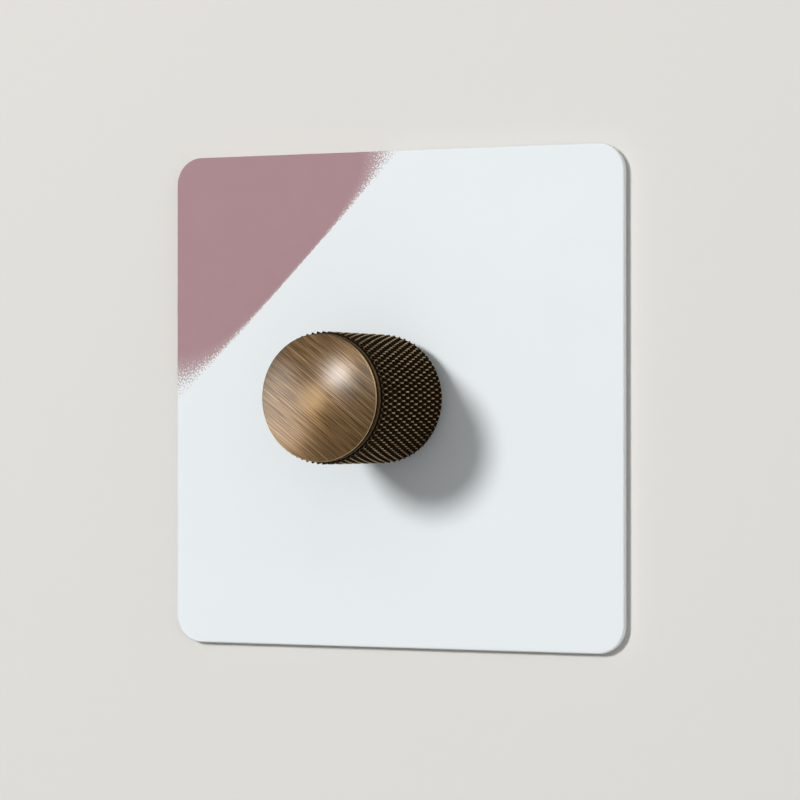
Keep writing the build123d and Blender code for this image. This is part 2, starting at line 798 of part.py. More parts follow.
# Terminal cages: brass blocks with a wire bore from below, a clamp screw and a solder tag
with BuildPart() as terminal_cages:
    tag_end = cage_top + tag_length
    bore_top = -half_module - wire_bore_end
    for x in cage_xs:
        block(x - cage_width / 2, x + cage_width / 2, cage_back, shelf_back, cage_bottom, cage_top)
        x0, x1 = x - tag_width / 2, x + tag_width / 2
        block(x0, x1, shelf_back - tag_thickness, shelf_back, cage_top, tag_end)
        block(x0, x1, shelf_back, board_back, tag_end - tag_thickness, tag_end)
        upright_bore(cage_bottom, bore_top, wire_bore_r, x, bore_out)
        rod(cage_back, bore_out, clamp_r + thread_gap, x, clamp_z, Mode.SUBTRACT)
terminal_cages.part.label = "terminal_cages"
export_step(terminal_cages.part, "parts/terminal_cages.step")

with BuildPart() as terminal_screws:
    head_front = cage_back - clamp_stand
    head_back = head_front - clamp_head_height
    for x in cage_xs:
        rod(head_front, bore_out - wire_bore_r - clamp_tip_gap, clamp_r, x, clamp_z)
        rod(head_back, head_front, clamp_head_r, x, clamp_z)
        slot(head_back, head_back + clamp_slot_depth, clamp_head_r, x, clamp_z)
terminal_screws.part.label = "terminal_screws"
export_step(terminal_screws.part, "parts/terminal_screws.step")

# Spindle with a flat at each end, a groove for its ring and a thin push tip
groove_front = bush_back - ring_end_gap
groove_back = groove_front - ring_thickness
groove_r = spindle_r - ring_groove
with BuildPart() as spindle:
    rod(spindle_back, spindle_front, spindle_r)
    chamfer(spindle.faces().sort_by(Axis.Y)[0].edges(), spindle_edge)
    rod(tip_back, spindle_back, tip_r)
    with BuildSketch(at(groove_back)) as groove:
        Circle(ring_r)
        Circle(groove_r, mode=Mode.SUBTRACT)
    extrude(groove.sketch, amount=ring_thickness, mode=Mode.SUBTRACT)
    flat_end = groove_back - flat_setback
    for start, end in ((spindle_back, flat_end), (core_back, spindle_front)):
        block(spindle_flat, ring_r, start, end, -spindle_r, spindle_r, Mode.SUBTRACT)
spindle.part.label = "spindle"
export_step(spindle.part, "parts/spindle.step")

with BuildPart() as retaining_ring:
    rod(groove_back, groove_front, ring_r)
    rod(groove_back, groove_front, groove_r + ring_seat_gap, mode=Mode.SUBTRACT)
    block(-ring_mouth / 2, ring_mouth / 2, groove_back, groove_front, -ring_r, 0, Mode.SUBTRACT)
retaining_ring.part.label = "retaining_ring"
export_step(retaining_ring.part, "parts/retaining_ring.step")

# Knob: turned brass, knurled barrel, plain land, slightly crowned face, hollow rear
with BuildPart() as knob:
    add(knurl())
    with BuildSketch(Plane.XY):
        with BuildLine():
            Polyline((0, -knurl_front), (land_r, -knurl_front), (land_r, -face_edge + land_edge))
            Line((land_r, -face_edge + land_edge), (face_r, -face_edge))
            RadiusArc((face_r, -face_edge), (0, -face_out), face_arc_r)
            Line((0, -face_out), (0, -knurl_front))
        make_face()
    revolve(axis=Axis.Y)
    rod(knob_back, knurl_back, knob_foot_r)
    chamfer(knob.edges().filter_by(GeomType.CIRCLE).sort_by(Axis.Y)[-1], knob_foot_edge)
    rod(knob_back, recess_end, knob_recess_r, mode=Mode.SUBTRACT)
    rod(recess_end, core_front, core_r, mode=Mode.SUBTRACT)
knob.part.label = "knob"
export_step(knob.part, "parts/knob.step")

with BuildPart() as knob_core:
    rod(core_back, core_front, core_r - core_gap)
    d_bore(core_back, spindle_front, core_gap)
knob_core.part.label = "knob_core"
export_step(knob_core.part, "parts/knob_core.step")
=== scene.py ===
"""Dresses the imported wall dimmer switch: finishes, the knurled knob, the stage, the light and the camera.

Shapes are in metres. Finishes work in millimetres, because place() scales the part's own frame for them,
so the scale of a noise is its number of cells a millimetre.
"""
import json
import math

import bpy
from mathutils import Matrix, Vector


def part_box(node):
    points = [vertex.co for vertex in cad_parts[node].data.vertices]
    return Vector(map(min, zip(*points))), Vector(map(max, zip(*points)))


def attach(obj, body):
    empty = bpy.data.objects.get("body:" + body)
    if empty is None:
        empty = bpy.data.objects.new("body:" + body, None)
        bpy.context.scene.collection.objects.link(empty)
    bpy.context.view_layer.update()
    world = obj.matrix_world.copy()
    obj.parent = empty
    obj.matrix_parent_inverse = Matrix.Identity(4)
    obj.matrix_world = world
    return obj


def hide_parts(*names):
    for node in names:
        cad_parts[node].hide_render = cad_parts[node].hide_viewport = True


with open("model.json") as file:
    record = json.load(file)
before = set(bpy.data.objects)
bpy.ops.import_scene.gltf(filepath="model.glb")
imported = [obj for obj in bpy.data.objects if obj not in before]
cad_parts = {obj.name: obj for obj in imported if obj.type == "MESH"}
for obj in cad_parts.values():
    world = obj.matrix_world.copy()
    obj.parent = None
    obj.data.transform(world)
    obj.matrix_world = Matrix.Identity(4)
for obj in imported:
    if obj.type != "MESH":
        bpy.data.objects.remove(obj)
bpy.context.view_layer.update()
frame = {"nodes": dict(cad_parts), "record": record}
MM = 0.001

# Camera, worked out from the plate's edges and the knob's face in the photograph
IMAGE_PIXELS = 800.0
FOCAL_PIXELS = 3542.0
CAMERA_AZIMUTH = math.radians(26.093)
CAMERA_DISTANCE = 642.74 * MM
CAMERA_HEIGHT = -5.4 * MM
CAMERA_PITCH = math.radians(0.4684)
CAMERA_YAW = math.radians(-0.0282)
CAMERA_NEAR = 10.0 * MM
SENSOR_WIDTH = 36.0

# Main light; its level is the brightness that it alone gives a white plate
KEY_TOWARDS = Vector((-0.246, -0.928, 0.290))
KEY_DISTANCE = 2.0
KEY_SPREAD = 0.2
KEY_LEVEL = 0.672

# Soft boxes that only reflections show: high in front, at the left and at the right
GLINT_TOWARDS = Vector((-0.032, -0.93, 0.358))
GLINT_DISTANCE = 1.5
GLINT_SPREAD = 0.31
GLINT_RADIANCE = 17.5
CARD_TOWARDS = Vector((-0.867, -0.48, -0.09))
CARD_DISTANCE = 1.0
CARD_SPREAD = 1.05
CARD_RADIANCE = 1.95
SIDE_TOWARDS = Vector((0.492, -0.45, 0.322))
SIDE_DISTANCE = 1.2
SIDE_SPREAD = 0.56
SIDE_RADIANCE = 2.3

# Soft box behind the wall, for views of the back
REAR_TOWARDS = Vector((0.5, 0.8, 0.45))
REAR_DISTANCE = 1.2
REAR_SPREAD = 0.75
REAR_RADIANCE = 4.5

# Room: a fill from the front right, and what metal reflects, dark before the wall and pale behind it
FILL_TOWARDS = Vector((0.74, -0.66, 0.1))
FILL_HIGH = 0.66
FILL_COLOUR = (1.0, 1.0, 1.0)
GLOSS_TOWARDS = Vector((0.0, 1.0, 0.0))
GLOSS_START = -0.1
GLOSS_END = 0.6
GLOSS_LOW = 0.04
GLOSS_HIGH = 1.0

# Stage: a wall just behind the wall plane, open for the box behind the plate, and the floor below it
WALL_COLOUR = (0.745, 0.730, 0.699)
WALL_MOTTLE = 0.005
PLASTER_SCALE = 0.3
WALL_GAP = 0.1 * MM
WALL_HALF = 0.9
OPENING_HALF = 40.8 * MM
FLOOR_DROP = 1.4
FLOOR_DEPTH = 0.6
CORNERS = 4

# Plate's paint, in millimetres: white primer, and a corner of pink with a straight edge between two points
# of the plate's border. At both ends of that edge the pink is dry brushed out over a wider margin.
PRIMER_DARK = (0.80, 0.845, 0.862)
PRIMER_LIGHT = (0.825, 0.866, 0.88)
PINK_DARK = (0.376, 0.231, 0.250)
PINK_LIGHT = (0.404, 0.248, 0.267)
PINK_THIN = (0.52, 0.42, 0.42)
PRIMER_SCALE = 0.08
TOOTH_SCALE = 2.4
PINK_SCALE = 0.3
PINK_TOP_X = 1.65
PINK_LEFT_Z = -1.0
PINK_LINE = 0.1
PINK_MARGIN = 0.62
PINK_TOP_MARGIN = 12.5
PINK_TOP_FALL = 5.4
PINK_LEFT_MARGIN = 21.0
PINK_LEFT_FALL = 5.2
PINK_BUILD = 0.45
PINK_STAND = 0.6
PINK_BACK_Y = -0.95
GRAIN_WIDTH = 0.26
GRAIN_LENGTH = 0.32
GRAIN_REACH = 0.22
GRAIN_SOFT = 0.05

# Knob's form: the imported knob's box, with distances counted out from the wall. The first ring of the face
# lies close to its edge, at a share of its radius, which keeps the edge's shading off the face.
KNOB_LOW, KNOB_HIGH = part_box("knob")
KNOB_R = KNOB_HIGH.x
KNOB_BACK = -KNOB_HIGH.y
KNOB_FRONT = -KNOB_LOW.y
RECESS_R = 8.0 * MM
RECESS_DEPTH = 8.0 * MM
CORE_HOLE_R = 5.02 * MM
CORE_HOLE_DEPTH = 11.0 * MM
FOOT_HEIGHT = 0.7 * MM
FOOT_INSET = 0.35 * MM
FOOT_EDGE = 0.25 * MM
LAND_LENGTH = 1.7 * MM
LAND_INSET = 0.5 * MM
LAND_EDGE = 0.13 * MM
LAND_EDGE_STEPS = 4
COLLAR_LENGTH = 0.35 * MM
COLLAR_INSET = 0.42 * MM
GROOVE_INSET = 0.7 * MM
RIM_LENGTH = 2.0 * LAND_EDGE
FACE_CROWN = 3.0 * MM
FACE_RINGS = 12
FACE_FIRST_RING = 0.993
SHARP_ANGLE = math.radians(38.0)
SIDE_SLOT = 0
FACE_SLOT = 1

# Knurl: two crossing sets of ridges. A ridge ends at RIDGE_WIDTH of the way to the next one, and its peak,
# which would be RIDGE_FLAT times the depth, is cut off flat at the depth.
KNURL_STARTS = 68
KNURL_STEPS = 14
KNURL_DEPTH = 0.6 * MM
RIDGE_WIDTH = 0.36
RIDGE_FLAT = 1.2
COLUMNS_A_START = 8
ROWS_A_STEP = 6
FACE_EDGE = KNOB_FRONT - FACE_CROWN
KNURL_BACK = KNOB_BACK + FOOT_HEIGHT
KNURL_FRONT = FACE_EDGE - LAND_LENGTH
KNURL_PERIOD = 2.0 * (KNURL_FRONT - KNURL_BACK) / KNURL_STEPS

# Wear of the knob's side, in millimetres: dots where ridges cross, lines on their crests, collar and rim,
# with a painted highlight on the rim at the lower right and painted shade on it at the upper left.
# The dots and the crests are measured in shares of the ridges' pitch.
SIDE_PATINA = (0.013, 0.0078, 0.0032)
SIDE_WORN = (0.58, 0.40, 0.21)
# The rim's pale brass also carries a painted highlight
RIM_WORN_AND_LIT = (0.60, 0.42, 0.20)
SIDE_METAL = 0.3
GRIME_SCALE = 1.3
DOT_ROUND = 0.10
DOT_LONG = 0.15
DOT_FULL = 1.05
DOT_GONE = 1.75
CREST_WIDTH = 0.12
CREST_BACK = 0.05
CREST_FRONT = 0.14
POLISH_LENGTH = 9.0
POLISH_FRONT = 0.6
PATCH_SCALE = 0.3
PATCH_REACH = 0.2
PATCH_DULL = 0.65
CUT_EDGE = 0.05
COLLAR_FULL = 0.05
COLLAR_GONE = 0.3
COLLAR_SHARE = 0.22
LAND_SHARE = 0.01
RIM_GONE = 2.2 * LAND_EDGE / MM
RIM_FULL = 1.6 * LAND_EDGE / MM
RIM_SHARE = 0.9
# Painted highlight on the rim towards the lower right, and painted shade towards the upper left
RIM_LIT_TOWARDS = (0.5, 0.0, -0.87)
RIM_SHADED_SHARE = 0.12

# Knob's brushed face, in millimetres: patina wearing through along the brush lines, with a painted
# highlight at the crown, painted light towards the lower left and painted shade towards the upper right
FACE_PATINA = (0.140, 0.071, 0.014)
FACE_WORN = (0.445, 0.258, 0.098)
FACE_PALE = (0.60, 0.41, 0.22)
# Painted highlight: a pale patch of brass at the crown of the dome, fading out from its axis
CROWN_HIGHLIGHT = (0.58, 0.40, 0.21)
CROWN_FULL_R = 0.8
CROWN_GONE_R = 4.0
CROWN_SHARE = 0.5
# Painted light and shade: the wear leans paler towards the lower left and darker towards the upper right
PAINTED_LIGHT_TOWARDS = (-0.6, 0.0, -0.8)
PAINTED_LIGHT_LEAN = 0.045
WEAR_AND_LIGHT_REACH = 0.08
BRUSH_ANGLE = math.radians(-37.0)
BRUSH_SLANT = 0.295
BRUSH_DETAIL = 1.0
BRUSH_LAYERS = (
    # seed, width, length, share of the tone
    (1.5, 0.06, 4.0, 0.34),
    (4.5, 0.115, 9.0, 0.56),
    (7.5, 0.50, 12.0, 0.10),
)
DARK_LINES = (13.5, 0.11, 5.0)
DARK_START = 0.60
DARK_FULL = 0.70
DARK_SHARE = 0.7
PALE_LINES = (10.5, 0.11, 8.0)
PALE_START = 0.66
PALE_FULL = 0.76

# Plain finishes: how far colour (spread) and roughness (sheen) vary, and the scale of a metal's stains
# beside its grain's. A fuse's caps start at a share of its half length.
METAL_SPREAD = 0.12
METAL_STAIN = 0.12
METAL_STAIN_REACH = 0.2
METAL_SHEEN = 0.08
METAL_SHEEN_REACH = 0.25
PLASTIC_SPREAD = 0.1
PLASTIC_SHEEN = 0.06
PLASTIC_SHEEN_REACH = 0.2
PLASTIC_CLOUD_SCALE = 0.15
FIBRE_SCALE = 0.5
FUSE_DARK = (0.74, 0.72, 0.66)
FUSE_LIGHT = (0.84, 0.82, 0.76)
FUSE_CAP = (0.62, 0.62, 0.63)
SPECK_SCALE = 3.0
CAP_START = 0.52
CAP_FULL = 0.54

# Shader nodes: the middle of a noise, and the sockets of a Mix node for numbers and for colours
NOISE_MIDDLE = 0.5
NUMBER_FIRST = 2
NUMBER_SECOND = 3
NUMBER_RESULT = 0
COLOUR_FIRST = 6
COLOUR_SECOND = 7
COLOUR_RESULT = 2


def add(tree, kind, inputs=None, **settings):
    """Adds a shader node, sets its properties, and links or sets the inputs that are given."""
    node = tree.nodes.new("ShaderNode" + kind)
    for name, value in settings.items():
        setattr(node, name, value)
    for key, value in (inputs or {}).items():
        if isinstance(value, bpy.types.NodeSocket):
            tree.links.new(value, node.inputs[key])
        else:
            node.inputs[key].default_value = value
    return node


def maths(tree, operation, *values, clamp=False):
    return add(tree, "Math", dict(enumerate(values)), operation=operation, use_clamp=clamp).outputs[0]


def ramp(tree, value, low, high, to_low=0.0, to_high=1.0, smooth=False):
    inputs = {"Value": value, "From Min": low, "From Max": high, "To Min": to_low, "To Max": to_high}
    kind = "SMOOTHSTEP" if smooth else "LINEAR"
    return add(tree, "MapRange", inputs, interpolation_type=kind).outputs[0]


def vary(tree, value, reach, to_low=0.0, to_high=1.0):
    """Takes a noise, within reach of its middle, to a range of numbers."""
    return ramp(tree, value, NOISE_MIDDLE - reach, NOISE_MIDDLE + reach, to_low, to_high)


def blend(tree, factor, first, second):
    """Mixes two numbers."""
    inputs = {0: factor, NUMBER_FIRST: first, NUMBER_SECOND: second}
    return add(tree, "Mix", inputs).outputs[NUMBER_RESULT]


def mix(tree, factor, first, second):
    """Mixes two colours; a plain colour is three numbers."""
    first, second = (c if isinstance(c, bpy.types.NodeSocket) else (*c, 1.0) for c in (first, second))
    inputs = {0: factor, COLOUR_FIRST: first, COLOUR_SECOND: second}
    return add(tree, "Mix", inputs, data_type="RGBA").outputs[COLOUR_RESULT]


def shades(colour, spread):
    """A darker and a lighter shade of a colour."""
    return [(1.0 - spread) * c for c in colour], [(1.0 + spread) * c for c in colour]


def place(tree):
    """The point in the part's own frame, in millimetres."""
    coords = add(tree, "TexCoord").outputs["Object"]
    return add(tree, "VectorMath", {0: coords, "Scale": 1.0 / MM}, operation="SCALE").outputs[0]


def spot(tree, *parts):
    """The point that has these coordinates."""
    return add(tree, "CombineXYZ", dict(enumerate(parts))).outputs[0]


def along(tree, point, axis):
    return add(tree, "VectorMath", {0: point, 1: axis}, operation="DOT_PRODUCT").outputs["Value"]


def stretched(tree, point, scale):
    return add(tree, "VectorMath", {0: point, 1: scale}, operation="MULTIPLY").outputs[0]


def noise(tree, point, scale, detail=2.0, roughness=0.5):
    inputs = {"Vector": point, "Scale": scale, "Detail": detail, "Roughness": roughness}
    return add(tree, "TexNoise", inputs).outputs["Fac"]


def bump(tree, height, strength, distance):
    return add(tree, "Bump", {"Height": height, "Strength": strength, "Distance": distance}).outputs[0]


def shader(tree, inputs):
    return add(tree, "BsdfPrincipled", inputs).outputs[0]


def dress(owner, output, build):
    """Gives a material or a world the surface that build returns."""
    owner.use_nodes = True
    tree = owner.node_tree
    tree.nodes.clear()
    add(tree, output, {"Surface": build(tree)})
    return owner


def finish(name, build):
    return dress(bpy.data.materials.new(name), "OutputMaterial", build)


def painted_corner(tree, point):
    """Where the pink lies, and how far its coat has built up inward from its edge."""
    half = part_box("face_plate")[1].x / MM
    top = Vector((PINK_TOP_X, 0.0, half))
    edge = Vector((-half, 0.0, PINK_LEFT_Z)) - top
    length = edge.length
    edge.normalize()
    inward = Vector((edge.z, 0.0, -edge.x))
    offset = add(tree, "VectorMath", {0: point, 1: top}, operation="SUBTRACT").outputs[0]
    depth = along(tree, offset, inward)
    run = along(tree, offset, edge)

    def brushed_out(distance, widest, fall):
        """How wide the dry-brushed margin is at a distance from one end of the edge."""
        ratio = maths(tree, "DIVIDE", distance, fall)
        return maths(tree, "DIVIDE", widest, maths(tree, "MULTIPLY_ADD", ratio, ratio, 1.0))

    top_margin = brushed_out(run, PINK_TOP_MARGIN, PINK_TOP_FALL)
    left_margin = brushed_out(maths(tree, "SUBTRACT", length, run), PINK_LEFT_MARGIN, PINK_LEFT_FALL)
    margin = maths(tree, "MAXIMUM", maths(tree, "MAXIMUM", top_margin, left_margin), PINK_MARGIN)
    coat = maths(tree, "POWER", maths(tree, "DIVIDE", depth, margin, clamp=True), PINK_BUILD)
    stroke = spot(tree, maths(tree, "DIVIDE", run, GRAIN_LENGTH), maths(tree, "DIVIDE", depth, GRAIN_WIDTH))
    grain = vary(tree, noise(tree, stroke, 1.0, roughness=0.65), GRAIN_REACH)
    wet = ramp(tree, coat, 0.0, 1.0, -GRAIN_SOFT, 1.0 + GRAIN_SOFT)
    covered = ramp(tree, maths(tree, "SUBTRACT", wet, grain), -GRAIN_SOFT, GRAIN_SOFT)
    within = ramp(tree, depth, -PINK_LINE, PINK_LINE)
    ahead = maths(tree, "LESS_THAN", along(tree, point, (0.0, 1.0, 0.0)), PINK_BACK_Y)
    pink = maths(tree, "MULTIPLY", maths(tree, "MULTIPLY", covered, within), ahead)
    return pink, coat


def paint(tree):
    """The plate: matt white primer, with one corner painted dusty pink."""
    point = place(tree)
    pink, coat = painted_corner(tree, point)
    tooth = noise(tree, point, TOOTH_SCALE, detail=3.0, roughness=0.6)
    white = mix(tree, noise(tree, point, PRIMER_SCALE, detail=3.0), PRIMER_DARK, PRIMER_LIGHT)
    full = mix(tree, noise(tree, point, PINK_SCALE, detail=4.0), PINK_DARK, PINK_LIGHT)
    rose = mix(tree, coat, PINK_THIN, full)
    height = maths(tree, "MULTIPLY_ADD", pink, PINK_STAND, tooth)
    return shader(tree, {
        "Base Color": mix(tree, pink, white, rose),
        "Roughness": vary(tree, tooth, reach=0.3, to_low=0.5, to_high=0.7),
        "Specular IOR Level": 0.25,
        "Normal": bump(tree, height, strength=0.25, distance=0.02 * MM),
    })


def brushed_brass(tree):
    """The knob's front: antiqued brass brushed one way across the dome, under thin lacquer, with a painted
    highlight at the crown and painted light and shade leaning across it.
    """
    point = place(tree)
    lines = Vector((math.cos(BRUSH_ANGLE), 0.0, math.sin(BRUSH_ANGLE)))
    across = Vector((-lines.z, 0.0, lines.x))
    run = along(tree, point, lines)
    off = along(tree, point, across + Vector((0.0, BRUSH_SLANT, 0.0)))

    def streaks(seed, width, length, detail=0.0):
        """A noise drawn out along the brush lines."""
        cell = spot(tree, maths(tree, "DIVIDE", run, length), maths(tree, "DIVIDE", off, width), seed)
        return noise(tree, cell, 1.0, detail)

    tone = 0.0
    for seed, width, length, share in BRUSH_LAYERS:
        tone = maths(tree, "MULTIPLY_ADD", streaks(seed, width, length, BRUSH_DETAIL), share, tone)
    face_r = KNOB_R / MM
    # Painted light and shade: paler towards the lower left, darker towards the upper right
    painted_lean = ramp(tree, along(tree, point, PAINTED_LIGHT_TOWARDS), -face_r, face_r, -PAINTED_LIGHT_LEAN, PAINTED_LIGHT_LEAN)
    rub_and_painted_light = vary(tree, maths(tree, "ADD", tone, painted_lean), WEAR_AND_LIGHT_REACH)
    dark = ramp(tree, streaks(*DARK_LINES), DARK_START, DARK_FULL, 0.0, DARK_SHARE)
    wear_and_painted_light = maths(tree, "SUBTRACT", rub_and_painted_light, dark, clamp=True)
    pale = ramp(tree, streaks(*PALE_LINES), PALE_START, PALE_FULL)
    # Painted highlight: paler brass at the crown, fading out from the axis
    flat = stretched(tree, point, (1.0, 0.0, 1.0))
    from_axis = add(tree, "VectorMath", {0: flat}, operation="LENGTH").outputs["Value"]
    crown = ramp(tree, from_axis, CROWN_FULL_R, CROWN_GONE_R, CROWN_SHARE, 0.0, smooth=True)
    colour = mix(tree, wear_and_painted_light, FACE_PATINA, FACE_WORN)
    colour = mix(tree, pale, colour, FACE_PALE)
    colour = mix(tree, crown, colour, CROWN_HIGHLIGHT)
    to_world = {"vector_type": "VECTOR", "convert_from": "OBJECT", "convert_to": "WORLD"}
    return shader(tree, {
        "Base Color": colour,
        "Metallic": 0.78,
        "Specular IOR Level": 0.0,
        "Roughness": vary(tree, tone, reach=0.14, to_low=0.53, to_high=0.59),
        "Anisotropic": 0.82,
        "Tangent": add(tree, "VectorTransform", {0: across}, **to_world).outputs[0],
        "Normal": bump(tree, tone, strength=0.12, distance=0.012 * MM),
        "Coat Weight": 0.8,
        "Coat IOR": 2.0,
        "Coat Roughness": 0.33,
    })


def knurl_wear(tree, point, out, grime):
    """How bare the knurl is: dots where its ridges cross, and a faint line along their crests."""
    parts = add(tree, "SeparateXYZ", {0: point})
    angle = maths(tree, "ARCTAN2", parts.outputs["Z"], parts.outputs["X"])
    turn = maths(tree, "MULTIPLY", angle, KNURL_STARTS / (2.0 * math.pi))
    lead = maths(tree, "DIVIDE", maths(tree, "SUBTRACT", out, KNURL_BACK / MM), KNURL_PERIOD / MM)

    def off_ridge(phase):
        return maths(tree, "SUBTRACT", phase, maths(tree, "ROUND", phase))

    left = off_ridge(maths(tree, "ADD", turn, lead))
    right = off_ridge(maths(tree, "SUBTRACT", turn, lead))
    # Half the sum of the two runs round the knob, and half their difference runs along it
    around = maths(tree, "MULTIPLY", maths(tree, "ADD", left, right), 0.5 / DOT_ROUND)
    ahead = maths(tree, "MULTIPLY", maths(tree, "SUBTRACT", left, right), 0.5 / DOT_LONG)
    from_dot = maths(tree, "MAXIMUM", maths(tree, "ABSOLUTE", around), maths(tree, "ABSOLUTE", ahead))
    dot = ramp(tree, maths(tree, "ADD", from_dot, grime), DOT_FULL, DOT_GONE, 1.0, 0.0)
    front = KNURL_FRONT / MM
    fade = ramp(tree, out, front - POLISH_LENGTH, front, 1.0, POLISH_FRONT)
    patches = vary(tree, noise(tree, point, PATCH_SCALE), PATCH_REACH, PATCH_DULL, 1.0)
    polished = maths(tree, "MULTIPLY", dot, maths(tree, "MULTIPLY", fade, patches))
    from_crest = maths(tree, "MINIMUM", maths(tree, "ABSOLUTE", left), maths(tree, "ABSOLUTE", right))
    crest = ramp(tree, from_crest, 0.0, CREST_WIDTH, 1.0, 0.0)
    crest_share = ramp(tree, out, front - POLISH_LENGTH, front, CREST_BACK, CREST_FRONT)
    return maths(tree, "MAXIMUM", polished, maths(tree, "MULTIPLY", crest, crest_share))


def land_wear(tree, out, grime):
    """How bare the plain ends are: hardly, apart from the front edge of the collar."""
    from_edge = maths(tree, "ABSOLUTE", maths(tree, "SUBTRACT", out, (KNURL_FRONT + COLLAR_LENGTH) / MM))
    collar = ramp(tree, from_edge, COLLAR_FULL, COLLAR_GONE, COLLAR_SHARE, 0.0)
    share = maths(tree, "ADD", collar, LAND_SHARE)
    return maths(tree, "MULTIPLY", share, maths(tree, "ADD", grime, NOISE_MIDDLE))


def rim_wear_and_highlight(tree, point, out):
    """How bare the rim round the face is, with a painted highlight that makes it bright at the lower right
    and painted shade that keeps it dull at the upper left.
    """
    edge = FACE_EDGE / MM
    rim = ramp(tree, out, edge - RIM_GONE, edge - RIM_FULL, 0.0, RIM_SHARE)
    half_r = 0.5 * KNOB_R / MM
    lit = ramp(tree, along(tree, point, RIM_LIT_TOWARDS), -half_r, half_r, RIM_SHADED_SHARE, 1.0)
    return maths(tree, "MULTIPLY", rim, lit)


def knurled_brass(tree):
    """The knob's side: black-brown patina, wearing through to pale brass on the knurl and on the rim, whose
    brightness at the lower right is a painted highlight.
    """
    point = place(tree)
    out = along(tree, point, (0.0, -1.0, 0.0))
    grime = noise(tree, point, GRIME_SCALE, detail=3.0)
    # The rim's mask carries a painted highlight at the lower right and painted shade at the upper left
    rim = rim_wear_and_highlight(tree, point, out)
    plain = maths(tree, "MAXIMUM", rim, land_wear(tree, out, grime))
    back, front = KNURL_BACK / MM, KNURL_FRONT / MM
    past_back = ramp(tree, out, back, back + CUT_EDGE)
    before_front = ramp(tree, out, front - CUT_EDGE, front, 1.0, 0.0)
    cut = maths(tree, "MULTIPLY", past_back, before_front)
    wear_and_painted_light = blend(tree, cut, plain, knurl_wear(tree, point, out, grime))
    colour = mix(tree, wear_and_painted_light, SIDE_PATINA, SIDE_WORN)
    return shader(tree, {
        "Base Color": mix(tree, rim, colour, RIM_WORN_AND_LIT),
        "Metallic": ramp(tree, wear_and_painted_light, 0.0, SIDE_METAL),
        "Roughness": ramp(tree, wear_and_painted_light, 0.0, 1.0, to_low=0.55, to_high=0.32),
        "Specular IOR Level": 0.0,
        "Normal": bump(tree, grime, strength=0.1, distance=0.02 * MM),
    })


def metal(colour, roughness, grain, pull=(1.0, 1.0, 1.0)):
    """A plain metal with a rolled or turned grain; a pull below 1 draws the grain out along that axis."""
    def build(tree):
        point = stretched(tree, place(tree), pull)
        lines = noise(tree, point, grain, detail=3.0, roughness=0.6)
        stain = noise(tree, point, METAL_STAIN * grain, detail=3.0)
        sheen = (roughness - METAL_SHEEN, roughness + METAL_SHEEN)
        return shader(tree, {
            "Base Color": mix(tree, vary(tree, stain, METAL_STAIN_REACH), *shades(colour, METAL_SPREAD)),
            "Metallic": 1.0,
            "Roughness": vary(tree, lines, METAL_SHEEN_REACH, *sheen),
            "Normal": bump(tree, lines, strength=0.12, distance=0.02 * MM),
        })
    return build


def plastic(colour, roughness, grain, depth=0.03):
    """A moulded plastic with a fine spark-eroded grain, as deep as depth in millimetres."""
    def build(tree):
        point = place(tree)
        cells = noise(tree, point, grain)
        sheen = (roughness - PLASTIC_SHEEN, roughness + PLASTIC_SHEEN)
        cloud = noise(tree, point, PLASTIC_CLOUD_SCALE)
        return shader(tree, {
            "Base Color": mix(tree, cloud, *shades(colour, PLASTIC_SPREAD)),
            "Roughness": vary(tree, cells, PLASTIC_SHEEN_REACH, *sheen),
            "Normal": bump(tree, cells, strength=0.3, distance=depth * MM),
        })
    return build


def laminate(base, fibre, pitch):
    """A woven glass or paper laminate, with threads at a pitch in millimetres."""
    def build(tree):
        point = place(tree)
        parts = add(tree, "SeparateXYZ", {0: point})
        turn = 2.0 * math.pi / pitch
        warp = maths(tree, "SINE", maths(tree, "MULTIPLY", parts.outputs["X"], turn))
        weft = maths(tree, "SINE", maths(tree, "MULTIPLY", parts.outputs["Z"], turn))
        weave = ramp(tree, maths(tree, "MULTIPLY", warp, weft), -1.0, 1.0)
        bare = maths(tree, "MULTIPLY", weave, noise(tree, point, FIBRE_SCALE, detail=3.0))
        return shader(tree, {
            "Base Color": mix(tree, bare, base, fibre),
            "Roughness": 0.4,
            "Normal": bump(tree, weave, strength=0.1, distance=0.02 * MM),
        })
    return build


def fuse_tube(tree):
    """A ceramic tube with a metal cap at each end."""
    point = place(tree)
    low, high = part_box("fuse")
    sizes = high - low
    axis = max(range(3), key=lambda i: sizes[i])
    middle = (low[axis] + high[axis]) / 2.0 / MM
    reach = sizes[axis] / 2.0 / MM
    parts = add(tree, "SeparateXYZ", {0: point})
    away = maths(tree, "ABSOLUTE", maths(tree, "SUBTRACT", parts.outputs[axis], middle))
    cap = ramp(tree, away, CAP_START * reach, CAP_FULL * reach)
    speck = noise(tree, point, SPECK_SCALE, detail=3.0)
    tube = mix(tree, speck, FUSE_DARK, FUSE_LIGHT)
    return shader(tree, {
        "Base Color": mix(tree, cap, tube, FUSE_CAP),
        "Metallic": cap,
        "Roughness": vary(tree, speck, reach=0.3, to_low=0.25, to_high=0.4),
    })


